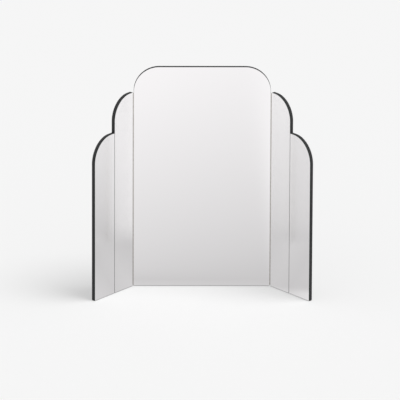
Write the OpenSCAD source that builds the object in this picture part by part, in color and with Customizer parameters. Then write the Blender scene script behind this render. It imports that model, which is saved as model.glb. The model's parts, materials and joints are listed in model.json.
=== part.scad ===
// Tri-fold table mirror: an arched centre panel and two stepped wings that fold
// towards the viewer on full-height piano hinges. Every panel is a painted
// board with mirror panes bonded to its front. Millimetres, +Z up, the mirrors
// face -Y. The origin is on the table, at the middle of the part as it stands.

/* [Centre panel] */
// Width of the centre board
centre_width = 430; // [400:5:600]
// Height of the centre board, above its felt strip
centre_height = 725; // [700:5:900]
// Radius of the centre panel's two top corners
centre_corner_radius = 80; // [20:5:150]

/* [Wing panels] */
// Width of the wing's inner column, next to the hinge
inner_width = 91; // [80:1:95]
// Width of the wing's lower, outer column
outer_width = 97; // [85:1:100]
// Height of the wing's inner column
inner_height = 642; // [560:2:660]
// Height of the wing's outer column
outer_height = 530; // [400:2:545]
// Radius of the inner column's shoulder
inner_corner_radius = 75; // [10:1:80]
// Radius of the outer column's shoulder
outer_corner_radius = 80; // [10:1:85]
// How far each wing stands folded forward from flat, in degrees
wing_angle = 50.5; // [15:0.5:85]

/* [Panel build-up] */
// Thickness of the painted boards
board_thickness = 9; // [8:0.5:18]
// Thickness of the mirror glass
glass_thickness = 3; // [2:0.5:6]
// Thickness of the double-sided tape behind the glass
tape_thickness = 0.5; // [0.3:0.1:1.5]
// Setback of the glass from the edges of its board
glass_setback = 0.4; // [0.3:0.1:2]
// Gap between the two panes of a wing
pane_gap = 1.2; // [0.4:0.1:3]

/* [Mounting tape] */
// Width of each strip of tape
tape_width = 25; // [10:1:30]
// Strips behind the centre pane
centre_tape_count = 4; // [2:1:8]
// Strips behind each wing pane
wing_tape_count = 2; // [1:1:2]
// Bare margin between the tape and the edges of the glass
tape_margin = 12; // [5:1:14]

/* [Piano hinges] */
// Width of a leaf, from the hinge axis to its free edge
leaf_width = 12; // [11:0.5:13]
// Thickness of the leaves
leaf_thickness = 0.6; // [0.5:0.1:0.8]
// Gap between the two leaves when the panels are in line
leaf_gap = 0.4; // [0.3:0.1:0.6]
// Outside diameter of the knuckles
knuckle_diameter = 2.4; // [2.2:0.1:2.5]
// Nominal length of one knuckle
knuckle_pitch = 15; // [10:1:30]
// Gap between neighbouring knuckles
knuckle_gap = 0.2; // [0.1:0.1:0.6]
// Diameter of the hinge pin
pin_diameter = 1.2; // [1:0.1:1.4]
// Radial clearance of the pin in the knuckles
pin_clearance = 0.04; // [0.02:0.01:0.08]
// Gap between the knuckles and the flats of the leaves
flat_clearance = 0.1; // [0.1:0.1:0.5]
// Depth of the mirrors' faces behind the hinge axis
mirror_depth = 0.6; // [0.5:0.1:1.5]
// Distance from the ends of the hinge to the ends of the wing's inner edge
hinge_end_margin = 3; // [1:1:30]

/* [Hinge screws] */
// Shank diameter of the countersunk screws
screw_diameter = 2.2; // [1.8:0.1:2.6]
// Head diameter of the screws
screw_head_diameter = 4.2; // [3.6:0.1:5]
// Depth of the countersunk head
screw_head_height = 1.1; // [0.9:0.1:1.6]
// Overall length of the screws
screw_length = 13; // [8:1:20]
// Distance from one screw to the next
screw_pitch = 60; // [30:5:120]
// Least distance from the ends of the hinge to a screw
screw_end_distance = 15; // [8:1:25]
// Width of each slot of the cross recess in the head
recess_width = 0.6; // [0.4:0.1:0.8]
// Length of each slot of the cross recess
recess_length = 2.3; // [1.8:0.1:2.6]
// Depth of the cross recess
recess_depth = 0.7; // [0.4:0.1:0.9]
// Clearance round the screws
screw_clearance = 0.03; // [0.01:0.01:0.1]

/* [Felt strips] */
// Thickness of the felt strips that the boards stand on
felt_thickness = 1; // [0.8:0.1:3]
// Width of each strip
felt_width = 8; // [5:0.5:8]
// Distance from the ends of a board to its strip
felt_end_distance = 3; // [1:1:25]

/* [Hidden] */
$fn = 96;
sweep = 1;

knuckle_radius = knuckle_diameter / 2;
pin_radius = pin_diameter / 2;
bore_radius = pin_radius + pin_clearance;

// Depths behind the hinge axis, shared by the centre and by each wing
glass_front = mirror_depth;
tape_front = glass_front + glass_thickness;
board_front = tape_front + tape_thickness;
board_back = board_front + board_thickness;
board_middle = (board_front + board_back) / 2;

// The flats of the leaves start clear of the other leaf's knuckles
leaf_front = knuckle_radius + flat_clearance;

// Distances sideways from the hinge axis
edge_offset = leaf_gap / 2 + leaf_thickness;
axis_x = centre_width / 2 + edge_offset;
wing_width = inner_width + outer_width;

// Heights above the underside of the boards
hinge_bottom = hinge_end_margin;
hinge_top = min(inner_height, centre_height - centre_corner_radius) - hinge_end_margin;
hinge_length = hinge_top - hinge_bottom;
knuckle_count = 2 * round(hinge_length / knuckle_pitch / 2) + 1;
knuckle_step = hinge_length / knuckle_count;
screw_count = floor((hinge_length - 2 * screw_end_distance) / screw_pitch) + 1;
screw_start = (hinge_length - (screw_count - 1) * screw_pitch) / 2;
tip_length = screw_diameter;

// The rest pose is centred in depth: its back is the centre board and its front
// is the outer edge of a wing, at the glass or at the board behind it
front_reach = max(
    (edge_offset + wing_width - glass_setback) * sin(wing_angle) - glass_front * cos(wing_angle),
    (edge_offset + wing_width) * sin(wing_angle) - board_front * cos(wing_angle));
axis_y = (front_reach - board_back) / 2;

black_paint = "#2b2b2c";
silvered = "#d6dbdc";
tape_white = "#e6e5df";
nickel = "#b9b9b6";
steel = "#8f9296";
felt_grey = "#6d6c69";

// Outline of a column with one rounded top corner, on its right
module column_outline(width, height, radius) {
    square([width, height - radius]);
    square([width - radius, height]);
    translate([width - radius, height - radius])
        intersection() {
            circle(r = radius);
            square(radius);
        }
}

// Outline of the centre panel, set in by a margin from the board's edges
module centre_outline(margin = 0) {
    half = centre_width / 2 - margin;
    height = centre_height - 2 * margin;
    for (side = [0, 1])
        translate([0, margin])
            mirror([side, 0])
                column_outline(half, height, centre_corner_radius - margin);
}

// Outline of a wing's board, from its hinged edge at x = 0
module wing_outline() {
    column_outline(inner_width, inner_height, inner_corner_radius);
    column_outline(wing_width, outer_height, outer_corner_radius);
}

// Outlines of the two panes on a wing, which meet at the step
module inner_pane_outline() {
    translate([glass_setback, glass_setback])
        column_outline(inner_width - glass_setback - pane_gap / 2,
            inner_height - 2 * glass_setback, inner_corner_radius - glass_setback);
}

module outer_pane_outline() {
    translate([inner_width + pane_gap / 2, glass_setback])
        column_outline(outer_width - glass_setback - pane_gap / 2,
            outer_height - 2 * glass_setback, outer_corner_radius - glass_setback);
}

// Stands a drawn outline up on the felt and gives it depth, from front to back
module upright(front, thickness) {
    translate([0, front + thickness, felt_thickness])
        rotate([90, 0, 0])
            linear_extrude(thickness)
                children();
}

// Places of the three panels: the hinge axes lie on y = axis_y
module on_centre() {
    translate([0, axis_y, 0])
        children();
}

module on_hinge(side) {
    mirror([side < 0 ? 1 : 0, 0, 0])
        translate([axis_x, axis_y, 0])
            children();
}

module on_wing(side) {
    on_hinge(side)
        rotate([0, 0, -wing_angle])
            children();
}

// From a wing's hinge axis to the hinged edge of its board
module past_leaf() {
    translate([edge_offset, 0, 0])
        children();
}

// The hinge is drawn for the leaf on the +X side of its axis
module at_screws() {
    for (i = [0 : screw_count - 1])
        translate([leaf_gap / 2, board_middle, felt_thickness + hinge_bottom + screw_start + i * screw_pitch])
            rotate([0, 90, 0])
                children();
}

// A screw's body of revolution, head upwards on z = 0 and the point along +Z
module screw_shape(clearance = 0) {
    rotate_extrude()
        polygon([
            [0, 0],
            [screw_head_diameter / 2 + clearance, 0],
            [screw_diameter / 2 + clearance, screw_head_height],
            [screw_diameter / 2 + clearance, screw_length - tip_length],
            [0, screw_length + clearance]
        ]);
}

module screws() {
    at_screws()
        difference() {
            screw_shape();
            for (turn = [0, 90])
                rotate([0, 0, turn])
                    translate([-recess_length / 2, -recess_width / 2, -sweep])
                        cube([recess_length, recess_width, sweep + recess_depth]);
        }
}

// Leaf with every second knuckle, from the first one or from the second one
module hinge_leaf(first) {
    difference() {
        union() {
            translate([leaf_gap / 2, leaf_front, 0])
                cube([leaf_thickness, leaf_width - leaf_front, hinge_length]);
            for (i = [first : 2 : knuckle_count - 1])
                translate([0, 0, i * knuckle_step + knuckle_gap / 2]) {
                    cylinder(r = knuckle_radius, h = knuckle_step - knuckle_gap);
                    translate([leaf_gap / 2, 0, 0])
                        cube([leaf_thickness, leaf_front + leaf_thickness, knuckle_step - knuckle_gap]);
                }
        }
        translate([0, 0, -sweep])
            cylinder(r = bore_radius, h = hinge_length + 2 * sweep);
        translate([0, 0, -felt_thickness - hinge_bottom])
            at_screws()
                screw_shape(screw_clearance);
    }
}

module hinge_pin() {
    cylinder(r = pin_radius, h = hinge_length);
}

module lifted_to_hinge() {
    translate([0, 0, felt_thickness + hinge_bottom])
        children();
}

// Upright strips of tape, spread evenly over a width
module tape_strips(from, width, height, count) {
    room = width - 2 * tape_margin - tape_width;
    step = count > 1 ? room / (count - 1) : 0;
    first = count > 1 ? from + tape_margin : from + (width - tape_width) / 2;
    for (i = [0 : count - 1])
        translate([first + i * step, tape_margin])
            square([tape_width, height - tape_margin]);
}

// Strip under a board that runs from one end of it to the other
module felt_strip(from, width) {
    translate([from + felt_end_distance, board_middle - felt_width / 2, 0])
        cube([width - 2 * felt_end_distance, felt_width, felt_thickness]);
}

module centre_board() {
    color(black_paint)
        difference() {
            on_centre()
                upright(board_front, board_thickness)
                    centre_outline();
            for (side = [-1, 1])
                on_hinge(side)
                    mirror([1, 0, 0])
                        at_screws()
                            screw_shape(screw_clearance);
        }
}

module centre_mirror() {
    color(silvered)
        on_centre()
            upright(glass_front, glass_thickness)
                centre_outline(glass_setback);
}

module centre_mounting_tape() {
    color(tape_white)
        on_centre()
            upright(tape_front, tape_thickness)
                tape_strips(-centre_width / 2, centre_width, centre_height - centre_corner_radius, centre_tape_count);
}

module centre_felt_strip() {
    color(felt_grey)
        on_centre()
            felt_strip(-centre_width / 2, centre_width);
}

module wing_board(side) {
    color(black_paint)
        on_wing(side)
            difference() {
                past_leaf()
                    upright(board_front, board_thickness)
                        wing_outline();
                at_screws()
                    screw_shape(screw_clearance);
            }
}

module wing_inner_mirror(side) {
    color(silvered)
        on_wing(side)
            past_leaf()
                upright(glass_front, glass_thickness)
                    inner_pane_outline();
}

module wing_outer_mirror(side) {
    color(silvered)
        on_wing(side)
            past_leaf()
                upright(glass_front, glass_thickness)
                    outer_pane_outline();
}

module wing_inner_tape(side) {
    color(tape_white)
        on_wing(side)
            past_leaf()
                upright(tape_front, tape_thickness)
                    tape_strips(0, inner_width, inner_height - inner_corner_radius, wing_tape_count);
}

module wing_outer_tape(side) {
    color(tape_white)
        on_wing(side)
            past_leaf()
                upright(tape_front, tape_thickness)
                    tape_strips(inner_width, outer_width, outer_height - outer_corner_radius, wing_tape_count);
}

module wing_felt_strip(side) {
    color(felt_grey)
        on_wing(side)
            past_leaf()
                felt_strip(0, wing_width);
}

module centre_leaf(side) {
    color(nickel)
        on_hinge(side)
            lifted_to_hinge()
                mirror([1, 0, 0])
                    hinge_leaf(0);
}

module wing_leaf(side) {
    color(nickel)
        on_wing(side)
            lifted_to_hinge()
                hinge_leaf(1);
}

module pin(side) {
    color(steel)
        on_hinge(side)
            lifted_to_hinge()
                hinge_pin();
}

module centre_screws(side) {
    color(steel)
        on_hinge(side)
            mirror([1, 0, 0])
                screws();
}

module wing_screws(side) {
    color(steel)
        on_wing(side)
            screws();
}

centre_board();
centre_mirror();
centre_mounting_tape();
centre_felt_strip();
wing_board(-1);  // left_board
wing_inner_mirror(-1);  // left_inner_mirror
wing_outer_mirror(-1);  // left_outer_mirror
wing_inner_tape(-1);  // left_inner_tape
wing_outer_tape(-1);  // left_outer_tape
wing_felt_strip(-1);  // left_felt_strip
wing_board(1);  // right_board
wing_inner_mirror(1);  // right_inner_mirror
wing_outer_mirror(1);  // right_outer_mirror
wing_inner_tape(1);  // right_inner_tape
wing_outer_tape(1);  // right_outer_tape
wing_felt_strip(1);  // right_felt_strip
centre_leaf(-1);  // left_hinge_centre_leaf
wing_leaf(-1);  // left_hinge_wing_leaf
pin(-1);  // left_hinge_pin
centre_screws(-1);  // left_hinge_centre_screws
wing_screws(-1);  // left_hinge_wing_screws
centre_leaf(1);  // right_hinge_centre_leaf
wing_leaf(1);  // right_hinge_wing_leaf
pin(1);  // right_hinge_pin
centre_screws(1);  // right_hinge_centre_screws
wing_screws(1);  // right_hinge_wing_screws
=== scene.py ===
"""Dressed model of a tri-fold table mirror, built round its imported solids.

Each sub-assembly is drawn in its own frame in millimetres: x along the panel from
its hinged edge, y backwards from the hinge axis, z up. A place matrix then turns
it into the shared frame in metres. The mirrors face -Y.
"""

import json
import logging
import math
import random
from collections.abc import Callable, Sequence
from dataclasses import dataclass, field
from enum import Enum
from typing import Any

import bmesh
import bpy
from mathutils import Matrix, Vector


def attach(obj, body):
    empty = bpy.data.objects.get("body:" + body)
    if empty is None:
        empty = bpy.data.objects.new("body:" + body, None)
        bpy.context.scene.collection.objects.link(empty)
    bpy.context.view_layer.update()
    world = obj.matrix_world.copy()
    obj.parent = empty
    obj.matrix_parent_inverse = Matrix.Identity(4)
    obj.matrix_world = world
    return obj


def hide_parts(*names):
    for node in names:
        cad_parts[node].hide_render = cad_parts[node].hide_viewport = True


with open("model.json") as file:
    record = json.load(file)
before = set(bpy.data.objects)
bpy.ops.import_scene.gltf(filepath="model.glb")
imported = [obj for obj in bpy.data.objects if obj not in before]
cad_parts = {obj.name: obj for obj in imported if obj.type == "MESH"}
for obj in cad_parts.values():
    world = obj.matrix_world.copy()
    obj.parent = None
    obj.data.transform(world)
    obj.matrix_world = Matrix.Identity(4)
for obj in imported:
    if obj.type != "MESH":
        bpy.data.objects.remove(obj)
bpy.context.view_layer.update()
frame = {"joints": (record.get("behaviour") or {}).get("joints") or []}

log = logging.getLogger("table_mirror")

Tree = bpy.types.NodeTree
Mesh = bpy.types.Mesh
# What feeds a node's input: an output socket, or a node for its first output
Source = bpy.types.Node | bpy.types.NodeSocket
Point = tuple[float, float, float]
Flat = tuple[float, float]
Tones = tuple[str, str]

MM = 0.001
QUARTER = math.pi / 2
WEAR = "wear"
SMOOTH_BELOW = math.radians(35)

CENTRE_BODY = "centre"
# How far a wing is folded forward from flat
FOLD = math.radians(50.5)
# From a hinge axis to the hinged edge of a board
EDGE_OFFSET = 0.8
FELT_THICKNESS = 1


class Side(Enum):
    """The two wings, each with the sign of its x."""

    LEFT = -1
    RIGHT = 1

    @property
    def label(self) -> str:
        """Name of the side as the nodes have it."""
        return self.name.lower()

    @property
    def body(self) -> str:
        """Name of the body that the side's wing moves with."""
        return f"{self.label}_wing"

    @property
    def axis(self) -> Vector:
        """Foot of the hinge axis in millimetres, as on the right-hand side."""
        x, y, _ = next(j["pos_m"] for j in frame["joints"] if j["child"] == self.body)
        return Vector((abs(x) / MM, y / MM, 0.0))

    def hinge(self) -> Matrix:
        """Place of the hinge, whose leaf on the +x side belongs to the wing when flat."""
        return Matrix.Diagonal((self.value, 1, 1, 1)) @ Matrix.Translation(self.axis)

    def wing(self) -> Matrix:
        """Place of what turns with the wing."""
        return self.hinge() @ Matrix.Rotation(-FOLD, 4, "Z")


class Slot(Enum):
    """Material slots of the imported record, each with the ending of its pieces' names."""

    BOARD = "painted_board", "lacquered"
    GLASS = "mirror_glass", "silvered"
    TAPE = "mounting_tape", "foam"
    FELT = "felt", "felt"
    HINGE = "nickel_hinge", "rolled"
    PIN = "steel_pin", "staked"
    SCREWS = "plated_screws", "driven"


class Face(Enum):
    """The parts of a slab that may take a finish of their own."""

    FRONT = 0
    EDGE = 1
    BACK = 2


def stand(name: str, data: bpy.types.ID) -> bpy.types.Object:
    """Stand an object in the scene.

    Args:
        name: Its name.
        data: Its mesh, light or camera.

    Returns:
        The object.
    """
    thing = bpy.data.objects.new(name, data)
    bpy.context.scene.collection.objects.link(thing)
    return thing


# Nodes and finishes


def linear(code: str) -> tuple[float, float, float, float]:
    """Turn an sRGB hex colour into the linear colour that nodes take.

    Args:
        code: The colour, such as "#1a1a1b".

    Returns:
        Linear red, green, blue and a full alpha.
    """
    channels = [int(code[i:i + 2], 16) / 255 for i in (1, 3, 5)]
    r, g, b = (c / 12.92 if c <= 0.04045 else ((c + 0.055) / 1.055) ** 2.4 for c in channels)
    return r, g, b, 1.0


def per_metre(size_mm: float) -> float:
    """Scale of a pattern on Object coordinates whose features are this many millimetres."""
    return 1 / (size_mm * MM)


def add_node(tree: Tree, kind: str, values: dict[str | int, Any] | None = None) -> bpy.types.Node:
    """Add a node, set its values and link its inputs.

    Args:
        tree: The tree that gets the node.
        kind: The node's type name.
        values: Properties by name, and inputs by name or number. An input takes a value,
            a source or a list of sources.

    Returns:
        The new node.
    """
    node = tree.nodes.new(kind)
    for key, value in (values or {}).items():
        sources = value if isinstance(value, list) else [value]
        if isinstance(sources[0], Source):
            for source in sources:
                output = source.outputs[0] if isinstance(source, bpy.types.Node) else source
                tree.links.new(output, node.inputs[key])
        elif isinstance(key, str) and hasattr(node, key):
            setattr(node, key, value)
        else:
            node.inputs[key].default_value = value
    return node


def coated(
    tree: Tree, tones: Tones, blend: Source, relief: dict[str, Any], values: dict[str, Any]
) -> bpy.types.Node:
    """Wire what most finishes end in: two tones, a fine relief and the shader.

    Args:
        tree: The material's tree.
        tones: Colours where the blend is 0 and where it is 1.
        blend: How much of the second tone shows.
        relief: What the node of the relief gets.
        values: What else the shader gets.

    Returns:
        The shader.
    """
    colour = add_node(tree, "ShaderNodeMix", {
        "data_type": "RGBA", 6: linear(tones[0]), 7: linear(tones[1]), 0: blend})
    bump = add_node(tree, "ShaderNodeBump", relief)
    return add_node(tree, "ShaderNodeBsdfPrincipled", {
        **values, "Base Color": colour.outputs[2], "Normal": bump})


def empty_tree(owner: bpy.types.Material | bpy.types.World) -> Tree:
    """Turn nodes on for a material or a world.

    Args:
        owner: The material or the world.

    Returns:
        Its tree, without any node.
    """
    owner.use_nodes = True
    owner.node_tree.nodes.clear()
    return owner.node_tree


@dataclass(frozen=True)
class Finish:
    """A real surface finish. Subclasses wire its nodes.

    Attributes:
        name: Common name of the finish, and of its material.
    """

    name: str

    def surface(self, tree: Tree, place: Source) -> Source:
        """Wire the finish from object coordinates in metres and return its shader."""
        raise NotImplementedError

    def material(self) -> bpy.types.Material:
        """Build the material once.

        Returns:
            The material, which later calls share.
        """
        made = bpy.data.materials.get(self.name)
        if made is None:
            made = bpy.data.materials.new(self.name)
            tree = empty_tree(made)
            place = add_node(tree, "ShaderNodeTexCoord").outputs["Object"]
            add_node(tree, "ShaderNodeOutputMaterial", {"Surface": self.surface(tree, place)})
        return made


@dataclass(frozen=True)
class SatinLacquer(Finish):
    """Black lacquer sprayed on fibreboard and left satin.

    The eye reads an even near black at every angle, with a faint orange peel, and
    arrises a shade paler and browner where the coat pulls thin.

    Attributes:
        tones: The coat, and the coat on the arrises.
        roughness: Least and greatest roughness over the mottle.
        specular: Specular level, low because the coat holds matting powder.
        mottle_mm: Size of the patches where the sheen varies.
        peel_mm: Distance between the bumps of the orange peel.
        peel_height_mm: Height of those bumps.
    """

    name: str = "Satin black lacquer on fibreboard"
    tones: Tones = ("#404041", "#555351")
    roughness: Flat = (0.4, 0.52)
    specular: float = 0.01
    mottle_mm: float = 70
    peel_mm: float = 2.6
    peel_height_mm: float = 0.006

    def surface(self, tree: Tree, place: Source) -> Source:
        """Wire the coat, its thin arrises, the uneven sheen and the orange peel.

        Args:
            tree: The material's tree.
            place: Object coordinates, in metres.

        Returns:
            The lacquer's shader.
        """
        mottle = add_node(tree, "ShaderNodeTexNoise", {
            "Scale": per_metre(self.mottle_mm), "Detail": 3.0, "Vector": place})
        peel = add_node(tree, "ShaderNodeTexNoise", {
            "Scale": per_metre(self.peel_mm), "Detail": 1.5, "Vector": place})
        worn = add_node(tree, "ShaderNodeAttribute", {"attribute_name": WEAR})
        thin = add_node(tree, "ShaderNodeMath", {
            "operation": "MULTIPLY", 0: worn.outputs["Fac"], 1: mottle})
        sheen = add_node(tree, "ShaderNodeMapRange", {
            "To Min": self.roughness[0], "To Max": self.roughness[1], "Value": mottle})
        return coated(tree, self.tones, thin, {
            "Strength": 0.6, "Distance": self.peel_height_mm * MM, "Height": peel}, {
            "IOR": 1.5, "Specular IOR Level": self.specular, "Roughness": sheen})


@dataclass(frozen=True)
class SilveredGlass(Finish):
    """Clear float glass silvered behind, wiped clean.

    The eye reads an even, neutral mirror, softened by a thin haze that is a little
    stronger where the cloth went over it.

    Attributes:
        colour: Reflectance of the silver seen through the glass.
        haze: Roughness of the clean glass and of the wiped haze.
        wipe_mm: Width and length of the wiped strokes.
        wipe_angle: Slant of those strokes, in degrees.
    """

    name: str = "Silvered float glass"
    colour: str = "#fefefe"
    haze: Flat = (0.11, 0.125)
    wipe_mm: Flat = (18, 140)
    wipe_angle: float = 24

    def surface(self, tree: Tree, place: Source) -> Source:
        """Wire the silver and its wiped haze.

        Args:
            tree: The material's tree.
            place: Object coordinates, in metres.

        Returns:
            The mirror's shader.
        """
        across, along = (per_metre(size) for size in self.wipe_mm)
        strokes = add_node(tree, "ShaderNodeMapping", {
            "Rotation": (0.0, math.radians(self.wipe_angle), 0.0),
            "Scale": (along, along, across), "Vector": place})
        wiped = add_node(tree, "ShaderNodeTexNoise", {
            "Scale": 1.0, "Detail": 4.0, "Vector": strokes})
        haze = add_node(tree, "ShaderNodeMapRange", {
            "From Min": 0.45, "From Max": 0.8, "To Min": self.haze[0],
            "To Max": self.haze[1], "Value": wiped})
        return add_node(tree, "ShaderNodeBsdfPrincipled", {
            "Base Color": linear(self.colour), "Metallic": 1.0, "Roughness": haze})


@dataclass(frozen=True)
class PolishedGlassEdge(Finish):
    """The ground and polished edge of float glass over a dark silvering line.

    The eye reads a deep grey green, crossed by fine marks of the grinding wheel.

    Attributes:
        tones: The glass seen into its depth, and where the wheel left it a little matt.
        roughness: Least and greatest roughness.
        specular: Specular level, low because the wheel leaves the edge a little matt.
        mark_mm: Distance between the wheel's marks.
        mark_height_mm: Depth of those marks.
    """

    name: str = "Polished edge of float glass"
    tones: Tones = ("#262d2b", "#37413f")
    roughness: Flat = (0.12, 0.3)
    specular: float = 0.01
    mark_mm: float = 1.4
    mark_height_mm: float = 0.004

    def surface(self, tree: Tree, place: Source) -> Source:
        """Wire the tinted depth and the wheel's marks.

        Args:
            tree: The material's tree.
            place: Object coordinates, in metres.

        Returns:
            The edge's shader.
        """
        marks = add_node(tree, "ShaderNodeTexNoise", {
            "Scale": per_metre(self.mark_mm), "Detail": 3.0, "Roughness": 0.6, "Vector": place})
        polish = add_node(tree, "ShaderNodeMapRange", {
            "To Min": self.roughness[0], "To Max": self.roughness[1], "Value": marks})
        return coated(tree, self.tones, marks, {
            "Strength": 0.4, "Distance": self.mark_height_mm * MM, "Height": marks}, {
            "IOR": 1.52, "Specular IOR Level": self.specular, "Roughness": polish})


@dataclass(frozen=True)
class CellularCoat(Finish):
    """A matt, finely cellular or stippled surface.

    It stands for the grey curtain-coated paint on the back of a mirror and for the
    cut edges of closed-cell foam tape: one even pale tone broken by tiny pits.

    Attributes:
        tones: The pits, darkened with painted shade, and the surface between them.
        roughness: Roughness of the surface.
        cell_mm: Size of the cells.
        cell_depth_mm: Depth of the pits.
    """

    tones: Tones
    roughness: float
    cell_mm: float
    cell_depth_mm: float

    def surface(self, tree: Tree, place: Source) -> Source:
        """Wire the surface and its pits.

        Args:
            tree: The material's tree.
            place: Object coordinates, in metres.

        Returns:
            The coat's shader.
        """
        cells = add_node(tree, "ShaderNodeTexVoronoi", {
            "Scale": per_metre(self.cell_mm), "Vector": place})
        # The darker tone in the middle of each cell is painted shade in the pit
        return coated(tree, self.tones, cells, {
            "Strength": 0.5, "Distance": self.cell_depth_mm * MM, "Height": cells}, {
            "Roughness": self.roughness, "IOR": 1.46})


@dataclass(frozen=True)
class NeedleFelt(Finish):
    """Needle-punched wool felt, cut from sheet.

    The eye reads a flat grey with lighter and darker fibres lying every way, and a
    soft bloom at grazing angles.

    Attributes:
        tones: The darkest and the lightest fibres.
        fibre_mm: Thickness of the fibres, drawn at three times a real wool fibre's.
        tuft_mm: Size of the matted tufts.
        tuft_height_mm: Height of the tufts.
    """

    name: str = "Needle felt"
    tones: Tones = ("#4a4947", "#85837f")
    fibre_mm: float = 0.09
    tuft_mm: float = 1.2
    tuft_height_mm: float = 0.12

    def surface(self, tree: Tree, place: Source) -> Source:
        """Wire the fibres, the tufts and the bloom.

        Args:
            tree: The material's tree.
            place: Object coordinates, in metres.

        Returns:
            The felt's shader.
        """
        tufts = add_node(tree, "ShaderNodeTexNoise", {
            "Scale": per_metre(self.tuft_mm), "Detail": 2.0, "Vector": place})
        fibres = add_node(tree, "ShaderNodeTexNoise", {
            "Scale": per_metre(self.fibre_mm), "Detail": 2.0, "Distortion": 1.5,
            "Vector": place})
        mixed = add_node(tree, "ShaderNodeMath", {"operation": "MULTIPLY", 0: tufts, 1: fibres})
        spread = add_node(tree, "ShaderNodeMapRange", {
            "From Min": 0.12, "From Max": 0.42, "Value": mixed})
        return coated(tree, self.tones, spread, {
            "Strength": 0.8, "Distance": self.tuft_height_mm * MM, "Height": mixed}, {
            "Roughness": 0.95, "Sheen Weight": 0.3, "Sheen Roughness": 0.5, "IOR": 1.45})


@dataclass(frozen=True)
class PlatedSteel(Finish):
    """Rolled or turned steel under thin plating.

    The eye reads a soft metal with fine lines along its working direction, a little
    duller in patches where hands or tools have been.

    Attributes:
        tones: The plating, and the plating where it is dulled.
        roughness: Least and greatest roughness.
        line_mm: Width and length of the lines left by rolling, along z.
        line_height_mm: Depth of those lines.
        patch_mm: Size of the duller patches.
    """

    tones: Tones = ("#d6d3ce", "#c3c0ba")
    roughness: Flat = (0.22, 0.38)
    line_mm: Flat = (0.12, 9)
    line_height_mm: float = 0.003
    patch_mm: float = 25

    def surface(self, tree: Tree, place: Source) -> Source:
        """Wire the plating, its rolling lines and its dull patches.

        Args:
            tree: The material's tree.
            place: Object coordinates, in metres.

        Returns:
            The metal's shader.
        """
        across, along = (per_metre(size) for size in self.line_mm)
        drawn = add_node(tree, "ShaderNodeMapping", {
            "Scale": (across, across, along), "Vector": place})
        lines = add_node(tree, "ShaderNodeTexNoise", {
            "Scale": 1.0, "Detail": 2.0, "Vector": drawn})
        patches = add_node(tree, "ShaderNodeTexNoise", {
            "Scale": per_metre(self.patch_mm), "Detail": 4.0, "Vector": place})
        mixed = add_node(tree, "ShaderNodeMath", {"operation": "MULTIPLY", 0: lines, 1: patches})
        dulled = add_node(tree, "ShaderNodeMapRange", {
            "From Min": 0.1, "From Max": 0.4, "To Min": self.roughness[0],
            "To Max": self.roughness[1], "Value": mixed})
        return coated(tree, self.tones, patches, {
            "Strength": 0.5, "Distance": self.line_height_mm * MM, "Height": lines}, {
            "Metallic": 1.0, "Roughness": dulled})


LACQUER = SatinLacquer()
SILVERED = SilveredGlass()
GLASS_EDGE = PolishedGlassEdge()
# The first tone of each coat is painted shade in its pits
BACKING_PAINT = CellularCoat(
    "Grey backing paint of a mirror", ("#5d6163", "#6f7476"), roughness=0.55,
    cell_mm=0.9, cell_depth_mm=0.008)
FOAM_TAPE = CellularCoat(
    "White closed-cell foam tape", ("#b9b7b0", "#e6e4dd"), roughness=0.9,
    cell_mm=0.25, cell_depth_mm=0.04)
FELT = NeedleFelt()
NICKEL = PlatedSteel("Nickel-plated rolled steel")
DRAWN_WIRE = PlatedSteel(
    "Bright drawn steel wire", ("#a3a5a8", "#85878a"), roughness=(0.18, 0.3),
    line_mm=(0.06, 14), line_height_mm=0.001)
SCREW_PLATING = PlatedSteel(
    "Nickel-plated screw steel", ("#b4b2ad", "#8d8b86"), roughness=(0.2, 0.36),
    line_mm=(0.2, 0.2), line_height_mm=0.004, patch_mm=1.5)


# Shapes


def skin(name: str, rings: Sequence[Sequence[Point]], wear: Sequence[float] = ()) -> Mesh:
    """Skin a row of rings into a closed mesh.

    Args:
        name: Name of the mesh.
        rings: Rings of as many points each, anticlockwise seen from the row's start. An
            end may also be one point alone, a tip.
        wear: How exposed each ring of a slab is, from 0 on flats to 1 on arrises.

    Returns:
        The mesh, with the parts of a slab as material numbers and its wear as an attribute.
    """
    points: list[Point] = []
    rows = []
    for ring in rings:
        rows.append(range(len(points), len(points) + len(ring)))
        points += ring
    bands = [[tuple(rows[0])]]
    for near, far in zip(rows, rows[1:]):
        # Beside a tip two corners are one, and the quads become triangles
        bands.append([
            tuple(dict.fromkeys((
                near[i % len(near)], far[i % len(far)],
                far[(i + 1) % len(far)], near[(i + 1) % len(near)])))
            for i in range(max(len(near), len(far)))])
    bands.append([tuple(rows[-1])[::-1]])
    parts = [Face.EDGE] * len(bands)
    if wear:
        parts[:2], parts[-2:] = [Face.FRONT] * 2, [Face.BACK] * 2
    faces = [(face, part.value) for band, part in zip(bands, parts) for face in band
             if len(face) > 2]
    made = bpy.data.meshes.new(name)
    made.from_pydata(points, [], [face for face, _ in faces])
    made.polygons.foreach_set("material_index", [part for _, part in faces])
    exposed = wear or [0.0] * len(rows)
    made.attributes.new(WEAR, "FLOAT", "POINT").data.foreach_set(
        "value", [value for value, row in zip(exposed, rows) for _ in row])
    made.update()
    return made


def turned(name: str, profile: Sequence[Flat], segments: int) -> Mesh:
    """Turn a profile about z into a closed mesh.

    Args:
        name: Name of the mesh.
        profile: Radius and height of each point, upwards, with both ends on the axis.
        segments: Points round the axis.

    Returns:
        The mesh.
    """
    angles = [math.tau * i / segments for i in range(segments)]
    return skin(name, [
        [(r * math.cos(a), r * math.sin(a), z) for a in (angles if r else angles[:1])]
        for r, z in reversed(profile)])


@dataclass(frozen=True)
class Corner:
    """A square corner of an outline, rounded to a radius."""

    x: float
    z: float
    radius: float


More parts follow.
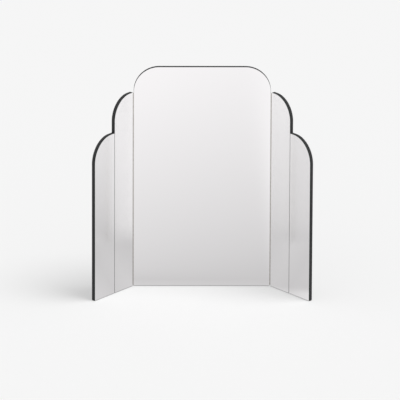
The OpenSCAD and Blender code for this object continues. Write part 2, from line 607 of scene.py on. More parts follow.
@dataclass(frozen=True)
class Outline:
    """A closed outline of level and upright edges, anticlockwise seen from the front.

    Attributes:
        corners: Its corners in order.
        coarse_radius: Corners below this radius get few points.
        fine_steps: Points round a large corner.
        coarse_steps: Points round a small corner.
        hold: Distance of the points that keep a straight edge straight beside a curve.
    """

    corners: tuple[Corner, ...]
    coarse_radius: float = 10
    fine_steps: int = 32
    coarse_steps: int = 4
    hold: float = 0.5

    @classmethod
    def box(
        cls, left: float, low: float, right: float, high: float, radii: Sequence[float]
    ) -> "Outline":
        """Draw a rectangle between these sides, with radii from the bottom left onwards."""
        places = ((left, low), (right, low), (right, high), (left, high))
        return cls(tuple(Corner(x, z, radius) for (x, z), radius in zip(places, radii)))

    def ring(self, inset: float) -> list[Flat]:
        """Trace the outline, moved inwards all round.

        Args:
            inset: How far inwards, less than the smallest outer radius.

        Returns:
            The points, always as many and in the same order whatever the inset.
        """
        traced: list[Flat] = []
        for i, corner in enumerate(self.corners):
            before, after = self.corners[i - 1], self.corners[(i + 1) % len(self.corners)]
            at = Vector((corner.x, corner.z))
            coming = (at - Vector((before.x, before.z))).normalized()
            going = (Vector((after.x, after.z)) - at).normalized()
            inward = Vector((-coming.y, coming.x)), Vector((-going.y, going.x))
            # 1 where the outline bulges, and -1 in a hollow corner
            turn = 1 if coming.x * going.y - coming.y * going.x > 0 else -1
            middle = at + turn * corner.radius * (inward[0] + inward[1])
            radius = corner.radius - turn * inset
            steps = self.coarse_steps if corner.radius < self.coarse_radius else self.fine_steps
            arc = []
            for step in range(steps + 1):
                angle = QUARTER * step / steps
                reach = inward[0] * math.cos(angle) + inward[1] * math.sin(angle)
                arc.append(middle - turn * radius * reach)
            held = [arc[0] - coming * self.hold, *arc, arc[-1] + going * self.hold]
            traced += [(point.x, point.y) for point in held]
        return traced


@dataclass(frozen=True)
class Slab:
    """A flat sheet cut to an outline, with a rounded arris all round, front at y = 0.

    Attributes:
        outline: The outline of its edge.
        thickness: Its thickness.
        arris: Radius of the arrises.
        arris_steps: Points round an arris.
        hold: Share of that radius by which the flats are held flat beside the arrises.
    """

    outline: Outline
    thickness: float
    arris: float
    arris_steps: int = 4
    hold: float = 0.5

    def mesh(self, name: str) -> Mesh:
        """Loft the slab from its front face to its back face.

        Args:
            name: Name of the mesh.

        Returns:
            The slab, in millimetres.
        """
        flat = self.arris + self.arris * self.hold
        half = [(flat, 0.0, 0.0)]
        for step in range(self.arris_steps + 1):
            angle = QUARTER * step / self.arris_steps
            half.append((
                self.arris * (1 - math.sin(angle)), self.arris * (1 - math.cos(angle)),
                math.sin(2 * angle)))
        half.append((0.0, flat, 0.0))
        sections = half + [(inset, self.thickness - y, wear) for inset, y, wear in half[::-1]]
        rings = [
            [(x, y, z) for x, z in self.outline.ring(inset)] for inset, y, _ in sections]
        return skin(name, rings, [wear for _, _, wear in sections])


# Geometry Nodes


def geometry_tree(name: str, inputs: dict[str, str], work: Callable[[Tree, Any], Source]) -> Tree:
    """Build a geometry tree that ends in real geometry with its finish on.

    Args:
        name: Name of the tree.
        inputs: Names and kinds of its inputs, between the geometry and the finish.
        work: Adds the nodes in between to the tree, from its inputs, and returns the last.

    Returns:
        The tree.
    """
    tree = bpy.data.node_groups.new(name, "GeometryNodeTree")
    for label, kind in {"Geometry": "Geometry", **inputs, "Finish": "Material"}.items():
        tree.interface.new_socket(label, in_out="INPUT", socket_type=f"NodeSocket{kind}")
    tree.interface.new_socket("Geometry", in_out="OUTPUT", socket_type="NodeSocketGeometry")
    given = add_node(tree, "NodeGroupInput").outputs
    real = add_node(tree, "GeometryNodeRealizeInstances", {"Geometry": work(tree, given)})
    dressed = add_node(tree, "GeometryNodeSetMaterial", {
        "Geometry": real, "Material": given["Finish"]})
    add_node(tree, "NodeGroupOutput", {"Geometry": dressed})
    return tree


def repeat(tree: Tree, given: Any) -> Source:
    """Repeat a piece along a line, each copy with a turn of its own.

    Args:
        tree: The tree.
        given: Its inputs.

    Returns:
        The copies.
    """
    line = add_node(tree, "GeometryNodeMeshLine", {
        "mode": "OFFSET", "Count": given["Count"], "Start Location": given["Start"],
        "Offset": given["Step"]})
    chance = add_node(tree, "FunctionNodeRandomValue", {
        "data_type": "FLOAT_VECTOR", "Min": (0.0, 0.0, 0.0), "Max": given["Turn"],
        "Seed": given["Seed"]})
    own = add_node(tree, "FunctionNodeEulerToRotation", {0: chance})
    tilt = add_node(tree, "FunctionNodeEulerToRotation", {0: given["Tilt"]})
    tilted = add_node(tree, "FunctionNodeRotateRotation", {
        "rotation_space": "GLOBAL", "Rotation": own, "Rotate By": tilt})
    return add_node(tree, "GeometryNodeInstanceOnPoints", {
        "Points": line, "Instance": given["Geometry"], "Rotation": tilted})


def fit(tree: Tree, given: Any) -> Source:
    """Weld one shape to a piece and cut another out of it.

    Args:
        tree: The tree.
        given: Its inputs.

    Returns:
        The piece.
    """
    welded, cut = (
        add_node(tree, "GeometryNodeObjectInfo", {"Object": given[name]}).outputs["Geometry"]
        for name in ("Welded", "Cut"))
    whole = add_node(tree, "GeometryNodeMeshBoolean", {
        "operation": "UNION", "solver": "EXACT", "Mesh 2": [given["Geometry"], welded]})
    return add_node(tree, "GeometryNodeMeshBoolean", {
        "operation": "DIFFERENCE", "solver": "EXACT", "Mesh 1": whole, "Mesh 2": cut})


ROW = geometry_tree("Row of like pieces", {
    "Count": "Int", "Start": "Vector", "Step": "Vector", "Tilt": "Vector", "Turn": "Vector",
    "Seed": "Int"}, repeat)
FITTING = geometry_tree("Welded and cut piece", {"Welded": "Object", "Cut": "Object"}, fit)


def run_tree(tree: Tree, mesh: Mesh, values: dict[str, Any]) -> Mesh:
    """Run a geometry tree on a mesh.

    Args:
        tree: The tree.
        mesh: What its Geometry input gets.
        values: Values of its other inputs, by name. Meshes stand for objects.

    Returns:
        A plain new mesh.
    """
    holder = stand(mesh.name, mesh)
    helpers = {
        name: stand(value.name, value)
        for name, value in values.items() if isinstance(value, Mesh)}
    modifier = holder.modifiers.new(tree.name, "NODES")
    modifier.node_group = tree
    for socket in tree.interface.items_tree:
        if socket.in_out == "INPUT" and socket.name in values:
            modifier[socket.identifier] = helpers.get(socket.name, values[socket.name])
    graph = bpy.context.evaluated_depsgraph_get()
    made = bpy.data.meshes.new_from_object(
        holder.evaluated_get(graph), preserve_all_data_layers=True, depsgraph=graph)
    holder.modifiers.remove(modifier)
    for thing in (holder, *helpers.values()):
        bpy.data.objects.remove(thing)
    return made


def row_of(
    mesh: Mesh, finish: Finish, count: int, start: Point, step: Point,
    tilt: Point = (0.0, 0.0, 0.0), turn: float = 0.0, seed: int = 0,
) -> Mesh:
    """Repeat a mesh along a line.

    Args:
        mesh: One of the like pieces.
        finish: Their finish.
        count: How many there are.
        start: Where the first one stands.
        step: From one to the next.
        tilt: Turn of every piece from its drawn attitude, in radians.
        turn: Greatest turn of a piece about its own z, in radians.
        seed: Seed of those turns.

    Returns:
        The row as one mesh.
    """
    return run_tree(ROW, mesh, {
        "Count": count, "Start": start, "Step": step, "Tilt": tilt,
        "Turn": (0.0, 0.0, turn), "Seed": seed, "Finish": finish.material()})


def placed(
    node: str, mesh: Mesh, place: Matrix, body: str, slot: Slot, finishes: Sequence[Finish] = ()
) -> None:
    """Put a finished mesh in the shared frame and let it ride on its body.

    Args:
        node: The CAD node that it stands for.
        mesh: Its mesh, in its own frame in millimetres.
        place: From that frame to the shared one, in millimetres.
        body: The body that it moves with.
        slot: The slot whose ending its name takes.
        finishes: Finishes by part, for a mesh that has none yet.
    """
    for finish in finishes:
        mesh.materials.append(finish.material())
    mesh.transform(Matrix.Scale(MM, 4) @ place)
    if place.determinant() < 0:
        mesh.flip_normals()
    mesh.shade_smooth()
    mesh.set_sharp_from_angle(angle=SMOOTH_BELOW)
    row, ending = slot.value
    mesh.name = name = f"{node}.{ending}"
    piece = stand(name, mesh)
    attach(piece, body)
    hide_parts(node)
    log.info("%s: %d faces, on %s, for %s", name, len(mesh.polygons), body, node)


# Panels


@dataclass(frozen=True)
class Layer:
    """One of the sheets that every panel is built up from.

    Attributes:
        slot: Slot of its pieces.
        finishes: Finishes of its front, edge and back.
        front: Depth of its front behind the hinge axis.
        thickness: Its thickness.
        arris: Radius of its arrises.
        toe: Radius of its square corners.
        setback: Least distance from its edges to the board's.
    """

    slot: Slot
    finishes: tuple[Finish, ...]
    front: float
    thickness: float
    arris: float
    toe: float
    setback: float = 0

    @property
    def middle(self) -> float:
        """Depth of its middle."""
        return self.front + self.thickness / 2

    @property
    def back(self) -> float:
        """Depth of its back."""
        return self.front + self.thickness


GLASS = Layer(
    Slot.GLASS, (SILVERED, GLASS_EDGE, BACKING_PAINT), front=0.6, thickness=3,
    arris=0.25, toe=1, setback=0.4)
TAPE = Layer(
    Slot.TAPE, (FOAM_TAPE,), front=GLASS.back, thickness=0.5, arris=0.08, toe=0.3, setback=12)
BOARD = Layer(Slot.BOARD, (LACQUER,) * len(Face), front=TAPE.back, thickness=9, arris=1, toe=2)


@dataclass(frozen=True)
class Column:
    """An upright part of a board with one pane on it.

    Attributes:
        left: Its left side.
        width: Its width.
        height: Its height.
        shoulder: Radius of its rounded top corner or corners.
    """

    left: float
    width: float
    height: float
    shoulder: float


@dataclass
class FeltStrip:
    """A strip of felt glued under a board, with softly torn edges.

    Attributes:
        start: Distance of its first end from the panel's origin.
        end: Distance of its other end.
        seed: Seed of its torn edges.
        width: Its width.
        station: Distance between its cross-sections.
        fray: How far its long edges wander inwards.
        section: Half of its section, from the middle of the underside to the middle of
            the top, as shares of the half width and of the thickness.
    """

    start: float
    end: float
    seed: int
    width: float = 8
    station: float = 3
    fray: float = 0.22
    section: tuple[Flat, ...] = (
        (0.0, 0.0), (0.9, 0.0), (0.97, 0.12), (1.0, 0.4), (0.99, 0.75), (0.95, 0.95),
        (0.88, 1.0), (0.0, 1.0))

    def mesh(self) -> Mesh:
        """Loft the strip along x, its underside at z = 0.

        Returns:
            The strip, in millimetres.
        """
        rng = random.Random(self.seed)
        count = round((self.end - self.start) / self.station)
        thick, half = FELT_THICKNESS, self.width / 2
        rings = []
        for i in range(count + 1):
            x = self.start + (self.end - self.start) * i / count
            pulled = [rng.uniform(0, self.fray) for _ in range(2)]
            right = [(x, (half - pulled[0]) * y, thick * z) for y, z in self.section]
            left = [(x, -(half - pulled[1]) * y, thick * z) for y, z in self.section[-2:0:-1]]
            rings.append(right + left)
        return skin("felt_strip", rings[::-1])


@dataclass
class Panel:
    """A board with what is bonded to it.

    Attributes:
        name: What the names of its nodes start with.
        body: The body that it moves with.
        place: From its frame to the shared one, with the board's foot at z = 0.
        tape_width: Width of the strips of tape.
        felt_inset: Distance from the board's ends to its felt.
    """

    name: str
    body: str
    place: Matrix
    tape_width: float = 25
    felt_inset: float = 3

    def add_sheet(self, part: str, layer: Layer, outline: Outline) -> None:
        """Build and dress the board or a pane of mirror.

        Args:
            part: What its node's name ends in.
            layer: The layer that it belongs to.
            outline: Its outline.
        """
        mesh = Slab(outline, layer.thickness, layer.arris).mesh(part)
        depth = Matrix.Translation((0, layer.front, 0))
        placed(f"{self.name}_{part}", mesh, self.place @ depth, self.body, layer.slot,
               layer.finishes)

    def add_tape(self, part: str, column: Column, count: int) -> None:
        """Build and dress the upright strips of tape behind a pane.

        Args:
            part: What their node's name ends in.
            column: The column that they lie on, up to its shoulder.
            count: How many strips there are.
        """
        strip = Outline.box(
            0, TAPE.setback, self.tape_width, column.height - column.shoulder, [TAPE.toe] * 4)
        room = column.width - 2 * TAPE.setback - self.tape_width
        row = row_of(
            Slab(strip, TAPE.thickness, TAPE.arris).mesh(part), TAPE.finishes[0], count,
            (column.left + TAPE.setback, TAPE.front, 0), (room / (count - 1), 0, 0))
        placed(f"{self.name}_{part}", row, self.place, self.body, TAPE.slot)

    def add_felt(self, left: float, width: float, seed: int) -> None:
        """Build and dress the felt strip under the board.

        Args:
            left: Left end of the board.
            width: Width of the board.
            seed: Seed of its torn edges.
        """
        strip = FeltStrip(left + self.felt_inset, left + width - self.felt_inset, seed)
        depth = Matrix.Translation((0, BOARD.middle, -FELT_THICKNESS))
        placed(f"{self.name}_felt_strip", strip.mesh(), self.place @ depth, self.body,
               Slot.FELT, [FELT] * len(Face))


@dataclass
class CentrePanel(Panel):
    """The arched centre panel.

    Attributes:
        whole: The board, one column with two rounded corners.
        tape_count: Strips of tape behind the pane.
    """

    name: str = "centre"
    body: str = CENTRE_BODY
    place: Matrix = field(default_factory=lambda: Matrix.Translation(
        (0, Side.RIGHT.axis.y, FELT_THICKNESS)))
    whole: Column = Column(left=-215, width=430, height=725, shoulder=80)
    tape_count: int = 4

    def outline(self, layer: Layer) -> Outline:
        """Outline of one layer of the panel.

        Args:
            layer: The board or the pane.

        Returns:
            The outline, set back from the board's edges as the layer is.
        """
        margin, toe = layer.setback, layer.toe
        half, top = self.whole.width / 2 - margin, self.whole.height - margin
        shoulder = self.whole.shoulder - margin
        return Outline.box(-half, margin, half, top, (toe, toe, shoulder, shoulder))

    def build(self) -> None:
        """Build and dress the board, the pane, the tape and the felt."""
        self.add_sheet("board", BOARD, self.outline(BOARD))
        self.add_sheet("mirror", GLASS, self.outline(GLASS))
        self.add_tape("mounting_tape", self.whole, self.tape_count)
        self.add_felt(self.whole.left, self.whole.width, seed=3)


@dataclass
class WingPanel(Panel):
    """A wing: one stepped board with two panes, folded forward on its hinge.

    Attributes:
        side: Which wing it is.
        inner: The column next to the hinge.
        outer: The lower, outer column.
        notch: Radius in the hollow corner of the step.
        pane_gap: Gap between the two panes.
        tape_count: Strips of tape behind each pane.
    """

    name: str = field(init=False)
    body: str = field(init=False)
    place: Matrix = field(init=False)
    side: Side = Side.LEFT
    inner: Column = Column(left=0, width=91, height=642, shoulder=75)
    outer: Column = Column(left=91, width=97, height=530, shoulder=80)
    notch: float = 1
    pane_gap: float = 1.2
    tape_count: int = 2

    def __post_init__(self) -> None:
        """Work out the name, the body and the place from the side."""
        self.name, self.body = self.side.label, self.side.body
        self.place = self.side.wing() @ Matrix.Translation((EDGE_OFFSET, 0, FELT_THICKNESS))

    def build(self) -> None:
        """Build and dress the board, both panes, their tape and the felt."""
        inner, outer, toe = self.inner, self.outer, BOARD.toe
        step, end = outer.left, outer.left + outer.width
        self.add_sheet("board", BOARD, Outline((
            Corner(0, 0, toe), Corner(end, 0, toe), Corner(end, outer.height, outer.shoulder),
            Corner(step, outer.height, self.notch), Corner(step, inner.height, inner.shoulder),
            Corner(0, inner.height, toe))))
        margin, half_gap, toe = GLASS.setback, self.pane_gap / 2, GLASS.toe
        for part, column, left, right in (
                ("inner", inner, margin, step - half_gap),
                ("outer", outer, step + half_gap, end - margin)):
            self.add_sheet(f"{part}_mirror", GLASS, Outline.box(
                left, margin, right, column.height - margin,
                (toe, toe, column.shoulder - margin, toe)))
        for part, column in (("inner", inner), ("outer", outer)):
            self.add_tape(f"{part}_tape", column, self.tape_count)
        self.add_felt(0, end, seed=7 + self.side.value)


# Hinges


@dataclass(frozen=True)
class HingeScrew:
    """A countersunk screw with a cross recess, head up at z = 0 and point along z.

    Attributes:
        radius: Radius of the shank.
        head_radius: Radius of the head.
        head_depth: Depth of the countersunk head.
        length: Overall length.
        point: Length of the point.
        rim: Width of the eased rim of the head.
        slot: Width and length of each slot of the recess.
        slot_depth: Depth of the recess.
        slot_taper: Size of the recess's floor against its mouth.
        clearance: Room round the head in the leaf.
        segments: Points round the axis.
    """

    radius: float = 1.1
    head_radius: float = 2.1
    head_depth: float = 1.1
    length: float = 13
    point: float = 2.2
    rim: float = 0.06
    slot: Flat = (0.6, 2.3)
    slot_depth: float = 0.7
    slot_taper: float = 0.55
    clearance: float = 0.07
    segments: int = 24

    def mesh(self) -> Mesh:
        """Turn the screw and cut its recess.

        Returns:
            One screw, in millimetres.
        """
        body = turned("hinge_screw", [
            (0, 0), (self.head_radius - self.rim, 0), (self.head_radius, self.rim),
            (self.radius, self.head_depth), (self.radius, self.length - self.point),
            (0, self.length)], self.segments)
        wide, long = self.slot[0] / 2, self.slot[1] / 2
        cross: list[Flat] = []
        arm = [(long, wide), (wide, wide), (wide, long)]
        for _ in range(4):
            cross += arm
            arm = [(-y, x) for x, y in arm]
        recess = skin("recess", [
            [(x * size, y * size, z) for x, y in cross]
            for size, z in ((self.slot_taper, self.slot_depth), (1, -self.clearance))])
        return run_tree(FITTING, body, {"Cut": recess, "Finish": SCREW_PLATING.material()})

    def cutter(self) -> Mesh:
        """Turn the shape that the screw's hole takes out of a leaf.

        Returns:
            The cutter, whose cone and shank run on past the leaf's two faces.
        """
        head, shank = self.head_radius + self.clearance, self.radius + self.clearance
        depth = self.head_depth
        return turned("hole", [
            (0, -depth), (2 * head - shank, -depth), (shank, depth), (shank, 2 * depth),
            (0, 2 * depth)], self.segments)


@dataclass
class PianoHinge:
    """A piano hinge between the centre board and one wing.

    The wing's leaf is drawn on the +x side of the axis, and the centre's is its mirror
    image. Each leaf is a flat strip whose front edge is rolled into every second knuckle.

    Attributes:
        side: Which hinge it is.
        length: Length of the hinge.
        lift: Height of its foot above the boards' foot.
        knuckles: Number of knuckles on both leaves.
        gap: Gap between the two leaves when the panels are in line.
        thickness: Thickness of the leaves.
        width: From the axis to a leaf's free edge.
        front: From the axis to the front of a leaf's flat, clear of the knuckles.
        toe: Radius of the leaves' corners.
        radius: Radius of the knuckles.
        bore: Radius of their bore.
        seam: Angle where the roll of a knuckle ends, in degrees.
        arc_steps: Points round a knuckle and round its bore.
        tongue: How far a knuckle reaches into the leaf.
        sunk: How far that tongue lies inside the leaf's faces.
        knuckle_gap: Gap between neighbouring knuckles.
        eased: Width of the eased edges.
        eased_steps: Points across an eased edge.
        pin_radius: Radius of the pin.
        pin_segments: Points round it.
        dome_height: Height of its staked ends.
        dome: Profile of those ends, as shares of the pin's radius and of their height.
        screw: The screws.
        screws: Screws in each leaf.
        screw_start: Height of the first screw above the hinge's foot.
        screw_pitch: Distance from one screw to the next.
        seeds: Seeds of the screws' angles in the centre's leaf and in the wing's.
    """

    side: Side
    length: float = 636
    lift: float = 3
    knuckles: int = 43
    gap: float = 0.4
    thickness: float = 0.6
    width: float = 12
    front: float = 1.3
    toe: float = 0.3
    radius: float = 1.2
    bore: float = 0.64
    seam: float = 84
    arc_steps: tuple[int, int] = (30, 22)
    tongue: float = 0.35
    sunk: float = 0.02
    knuckle_gap: float = 0.2
    eased: float = 0.1
    eased_steps: int = 2
    pin_radius: float = 0.6
    pin_segments: int = 24
    dome_height: float = 0.3
    dome: tuple[Flat, ...] = ((0, 0), (0.45, 0.12), (0.8, 0.45), (1, 1))
    screw: HingeScrew = HingeScrew()
    screws: int = 11
    screw_start: float = 18
    screw_pitch: float = 60
    seeds: tuple[int, int] = (11, 21)

    @property
    def step(self) -> float:
        """Distance from one knuckle to the next."""
        return self.length / self.knuckles

    def knuckle(self) -> Mesh:
        """Roll one knuckle from the leaf's edge, with the seam where the roll ends.

        Returns:
            The knuckle about z, with a tongue that reaches into the leaf.
        """
        near, far = self.gap / 2 + self.sunk, self.gap / 2 + self.thickness - self.sunk
        reach, end = self.front + self.tongue, math.radians(self.seam) - math.tau
        section = [(near, reach)]
        for radius, first, last, steps in (
                (self.bore, math.acos(near / self.bore), end, self.arc_steps[1]),
                (self.radius, end, math.acos(far / self.radius), self.arc_steps[0])):
            angles = [first + (last - first) * i / steps for i in range(steps + 1)]
            section += [(radius * math.cos(a), radius * math.sin(a)) for a in angles]
        section.append((far, reach))
        low, high = self.knuckle_gap / 2, self.step - self.knuckle_gap / 2
        mesh = skin("knuckle", [[(x, y, z) for x, y in section] for z in (high, low)])
        work = bmesh.new()
        work.from_mesh(mesh)
        ends = [edge for edge in work.edges if edge.verts[0].co.z == edge.verts[1].co.z]
        bmesh.ops.bevel(work, geom=ends, offset=self.eased, segments=self.eased_steps,
                        profile=0.5, affect="EDGES")
        work.to_mesh(mesh)
        work.free()
        return mesh

    def leaf(self, first: int) -> Mesh:
        """Weld the knuckles to the strip and drill it for the screws.

        Args:
            first: Number of its first knuckle, 0 or 1.

        Returns:
            The leaf about z, with its foot at z = 0.
        """
        knuckles = row_of(
            self.knuckle(), NICKEL, len(range(first, self.knuckles, 2)),
            (0, 0, first * self.step), (0, 0, 2 * self.step))
        strip = Outline.box(0, 0, self.width - self.front, self.length, [self.toe] * 4)
        mesh = Slab(strip, self.thickness, self.eased, self.eased_steps).mesh("leaf")
        mesh.transform(
            Matrix.Translation((self.gap / 2 + self.thickness, self.front, 0))
            @ Matrix.Rotation(QUARTER, 4, "Z"))
        return run_tree(FITTING, mesh, {
            "Welded": knuckles, "Cut": self.along_screws(self.screw.cutter(), NICKEL),
            "Finish": NICKEL.material()})

    def along_screws(self, mesh: Mesh, finish: Finish, turn: float = 0, seed: int = 0) -> Mesh:
        """Repeat a mesh at the screws of a leaf.

        Args:
            mesh: A screw or its hole.
            finish: Its finish.
            turn: Greatest turn of one about its own axis.
            seed: Seed of those turns.

        Returns:
            The row.
        """
        return row_of(
            mesh, finish, self.screws, (self.gap / 2, BOARD.middle, self.screw_start),
            (0, 0, self.screw_pitch), (0, QUARTER, 0), turn, seed)

    def pin(self) -> Mesh:
        """Turn the pin, with both ends staked into low domes.

        Returns:
            The pin about z, with its foot at z = 0.
        """
        end = [(self.pin_radius * r, self.dome_height * z) for r, z in self.dome]
        profile = end + [(radius, self.length - z) for radius, z in reversed(end)]
        return turned("pin", profile, self.pin_segments)

    def build(self) -> None:
        """Build and dress both leaves, the pin and the screws."""
        name, hinge = f"{self.side.label}_hinge", self.side.hinge()
        up = Matrix.Translation((0, 0, FELT_THICKNESS + self.lift))
        leaves = (
            ("centre", hinge @ Matrix.Diagonal((-1, 1, 1, 1)) @ up, CENTRE_BODY),
            ("wing", self.side.wing() @ up, self.side.body))
        for first, (leaf, place, body) in enumerate(leaves):
            placed(f"{name}_{leaf}_leaf", self.leaf(first), place, body, Slot.HINGE)
        placed(f"{name}_pin", self.pin(), hinge @ up, CENTRE_BODY, Slot.PIN,
               [DRAWN_WIRE] * len(Face))
        for seed, (leaf, place, body) in zip(self.seeds, leaves):
            # Each recess stands at the angle where its screw bit
            driven = self.along_screws(
                self.screw.mesh(), SCREW_PLATING, QUARTER, seed + self.side.value)
            placed(f"{name}_{leaf}_screws", driven, place, body, Slot.SCREWS)


# Studio


def glassy_rays(tree: Tree) -> bpy.types.Node:
    """Wire a value of 1 for rays from mirrors and through glass, and of 0 for the others."""
    rays = add_node(tree, "ShaderNodeLightPath").outputs
    return add_node(tree, "ShaderNodeMath", {
        "operation": "MAXIMUM", 0: rays["Is Glossy Ray"], 1: rays["Is Transmission Ray"]})


@dataclass(frozen=True)
class StudioFloor(Finish):
    """A matt white studio floor.

    The camera sees it white with soft shadows and a painted contact shade where
    something stands on it. A mirror sees a glowing emission instead, with painted shade
    that deepens towards the object and a painted glow beside the right wing. Distances
    there are from the object's middle line, or from its ends beyond them.

    Attributes:
        colour: The floor.
        shadow_share: Share of the real light in what the camera sees.
        contact_mm: Reach of the painted contact shade where something stands on the floor.
        mirrored_colour: Faint rosy cast of the mirrored floor.
        near: Level of the mirrored floor at the object's foot, where its painted shade is
            deepest.
        gain: How much brighter it is a metre away.
        curve: Power of that rise with distance.
        most: Level that it stays at far away.
        half_m: Half of the object's width.
        clear_m: Distances between which the next four come to hold in full.
        side_slope: Painted change in brightness of the mirrored floor per metre to the right.
        side_reach_m: How far to each side that change goes on.
        side_glow: Painted glow on the mirrored floor beside the right wing.
        glow_m: Where that painted glow starts and is full, to the right.
    """

    name: str = "Matt white studio floor"
    colour: str = "#f6f6f6"
    shadow_share: float = 0.53
    contact_mm: float = 2
    mirrored_colour: str = "#fffdfe"
    near: float = 0.59
    gain: float = 0.2
    curve: float = 0.65
    most: float = 0.945
    half_m: float = 0.35
    clear_m: Flat = (-0.08, 0.1)
    side_slope: float = -0.14
    side_reach_m: float = 0.3
    side_glow: float = 0.2
    glow_m: Flat = (0.2, 0.28)

    def mirrored(self, tree: Tree, place: Source) -> Source:
        """Wire what a mirror sees of the floor, a glowing emission with painted shade and glow.

        Args:
            tree: The material's tree.
            place: Object coordinates, in metres.

        Returns:
            The mirrored floor's shader.
        """
        axes = add_node(tree, "ShaderNodeSeparateXYZ", {"Vector": place}).outputs
        across, along = (
            add_node(tree, "ShaderNodeMath", {"operation": "ABSOLUTE", 0: axes[name]})
            for name in ("X", "Y"))
        past = add_node(tree, "ShaderNodeMath", {
            "operation": "SUBTRACT", 0: across, 1: self.half_m})
        outside = add_node(tree, "ShaderNodeMath", {"operation": "MAXIMUM", 0: past, 1: 0.0})
        away = add_node(tree, "ShaderNodeMath", {"operation": "ADD", 0: along, 1: outside})
        clear = add_node(tree, "ShaderNodeMapRange", {
            "From Min": self.clear_m[0], "From Max": self.clear_m[1], "Value": away})
        # Painted shade: the mirrored floor is darkest at the object's foot and brightens with
        # distance
        risen = add_node(tree, "ShaderNodeMath", {"operation": "POWER", 0: away, 1: self.curve})
        level = add_node(tree, "ShaderNodeMath", {
            "operation": "MULTIPLY_ADD", 0: risen, 1: self.gain, 2: self.near})
        # Painted change in brightness from left to right
        reach = self.side_reach_m
        slope = add_node(tree, "ShaderNodeMapRange", {
            "From Min": -reach, "From Max": reach, "To Min": -reach * self.side_slope,
            "To Max": reach * self.side_slope, "Value": axes["X"]})
        # Painted glow on the mirrored floor beside the right wing
        glow = add_node(tree, "ShaderNodeMapRange", {
            "interpolation_type": "SMOOTHSTEP", "From Min": self.glow_m[0],
            "From Max": self.glow_m[1], "To Max": self.side_glow, "Value": axes["X"]})
        sides = add_node(tree, "ShaderNodeMath", {"operation": "ADD", 0: slope, 1: glow})
        seen = add_node(tree, "ShaderNodeMath", {
            "operation": "MULTIPLY_ADD", 0: sides, 1: clear, 2: level})
        capped = add_node(tree, "ShaderNodeMath", {"operation": "MINIMUM", 0: seen, 1: self.most})
        return add_node(tree, "ShaderNodeEmission", {
            "Color": linear(self.mirrored_colour), "Strength": capped})

    def surface(self, tree: Tree, place: Source) -> Source:
        """Wire what the camera, the light and the mirrors see of the floor.

        Args:
            tree: The material's tree.
            place: Object coordinates, in metres.

        Returns:
            The floor's shader.
        """
        rays = add_node(tree, "ShaderNodeLightPath").outputs
        lit = add_node(tree, "ShaderNodeBsdfDiffuse", {"Color": linear(self.colour)})
        # Ambient occlusion darkens the white emission: painted contact shade where something
        # stands on the floor
        contact = add_node(tree, "ShaderNodeAmbientOcclusion", {
            "Distance": self.contact_mm * MM})
        white = add_node(tree, "ShaderNodeEmission", {
            "Color": linear(self.colour), "Strength": contact.outputs["AO"]})
        share = add_node(tree, "ShaderNodeMath", {
            "operation": "MULTIPLY", 0: rays["Is Camera Ray"], 1: 1 - self.shadow_share})
        plain = add_node(tree, "ShaderNodeMixShader", {"Fac": share, 1: lit, 2: white})
        # Mirrors see the glowing floor with its painted shade in place of the lit floor
        return add_node(tree, "ShaderNodeMixShader", {
            "Fac": glassy_rays(tree), 1: plain, 2: self.mirrored(tree, place)})


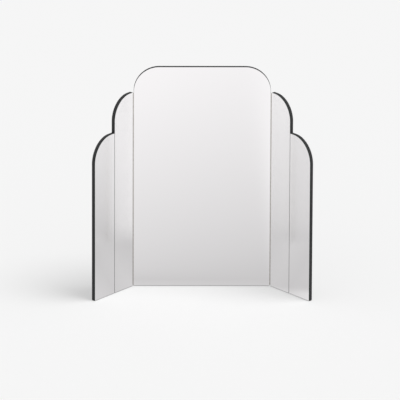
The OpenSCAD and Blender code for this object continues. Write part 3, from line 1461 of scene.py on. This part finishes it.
@dataclass
class Studio:
    """The floor, the light and the camera.

    Attributes:
        floor_size_m: Side of the floor.
        backdrop: Colour that the camera and the mirrors see beyond the floor.
        sky: Strength of the light from all round.
        key: Strength of the soft light from the front right.
        key_toward: The way that light travels.
        key_spread: Angle that the light source fills, in degrees.
        eye: Place of the camera, in metres.
        pitch: How far the camera looks down, in radians.
        yaw: How far it is turned to the right.
        roll: How far it is rolled.
        lens_mm: Focal length on the sensor below.
        sensor_mm: Width of the sensor.
        far_m: Far clipping distance.
    """

    floor_size_m: float = 80
    backdrop: str = "#f6f6f6"
    sky: float = 0.46
    key: float = 1.84
    key_toward: Point = (-1.0, 0.3, -2.4)
    key_spread: float = 32
    eye: Point = (-0.27611, -22.6518, 7.91958)
    pitch: float = 0.3241
    yaw: float = 0.0119
    roll: float = 0.0045
    lens_mm: float = 685
    sensor_mm: float = 36
    far_m: float = 200

    def build(self) -> None:
        """Build the floor, the light and the camera."""
        self.add_floor()
        self.add_sky()
        self.add_key()
        self.add_camera()

    def add_floor(self) -> None:
        """Lay the floor at z = 0."""
        half = self.floor_size_m / 2
        mesh = bpy.data.meshes.new("studio_floor")
        mesh.from_pydata(
            [(-half, -half, 0), (half, -half, 0), (half, half, 0), (-half, half, 0)], [],
            [(0, 1, 2, 3)])
        material = StudioFloor().material()
        material.cycles.emission_sampling = "NONE"
        mesh.materials.append(material)
        stand("studio_floor", mesh)

    def add_sky(self) -> None:
        """Light the scene from all round, and show the backdrop beyond the floor."""
        world = bpy.data.worlds.new("studio")
        tree = empty_tree(world)
        rays = add_node(tree, "ShaderNodeLightPath").outputs
        light = add_node(tree, "ShaderNodeBackground", {
            "Color": linear("#ffffff"), "Strength": self.sky})
        pale = add_node(tree, "ShaderNodeBackground", {
            "Color": linear(self.backdrop), "Strength": 1.0})
        seen = add_node(tree, "ShaderNodeMath", {
            "operation": "MAXIMUM", 0: rays["Is Camera Ray"], 1: glassy_rays(tree)})
        mixed = add_node(tree, "ShaderNodeMixShader", {"Fac": seen, 1: light, 2: pale})
        add_node(tree, "ShaderNodeOutputWorld", {"Surface": mixed})
        bpy.context.scene.world = world

    def add_key(self) -> None:
        """Hang the wide soft light at the front right."""
        lamp = bpy.data.lights.new("key_light", "SUN")
        lamp.energy = self.key
        lamp.angle = math.radians(self.key_spread)
        key = stand("key_light", lamp)
        key.rotation_mode = "QUATERNION"
        key.rotation_quaternion = Vector(self.key_toward).to_track_quat("-Z", "Y")
        key.visible_glossy = False

    def add_camera(self) -> None:
        """Stand the camera far off with a long lens, as the proportions show."""
        data = bpy.data.cameras.new("camera")
        data.sensor_width = self.sensor_mm
        data.lens = self.lens_mm
        data.clip_end = self.far_m
        camera = stand("camera", data)
        camera.matrix_world = (
            Matrix.Translation(self.eye) @ Matrix.Rotation(-self.yaw, 4, "Z")
            @ Matrix.Rotation(QUARTER - self.pitch, 4, "X") @ Matrix.Rotation(self.roll, 4, "Z"))
        bpy.context.scene.camera = camera


def main() -> None:
    """Build the studio and the mirror."""
    logging.basicConfig(level=logging.INFO, format="%(name)s: %(message)s")
    bpy.context.scene.view_settings.view_transform = "Standard"
    Studio().build()
    CentrePanel().build()
    for side in Side:
        WingPanel(side=side).build()
        PianoHinge(side).build()


if __name__ == "__main__":
    main()
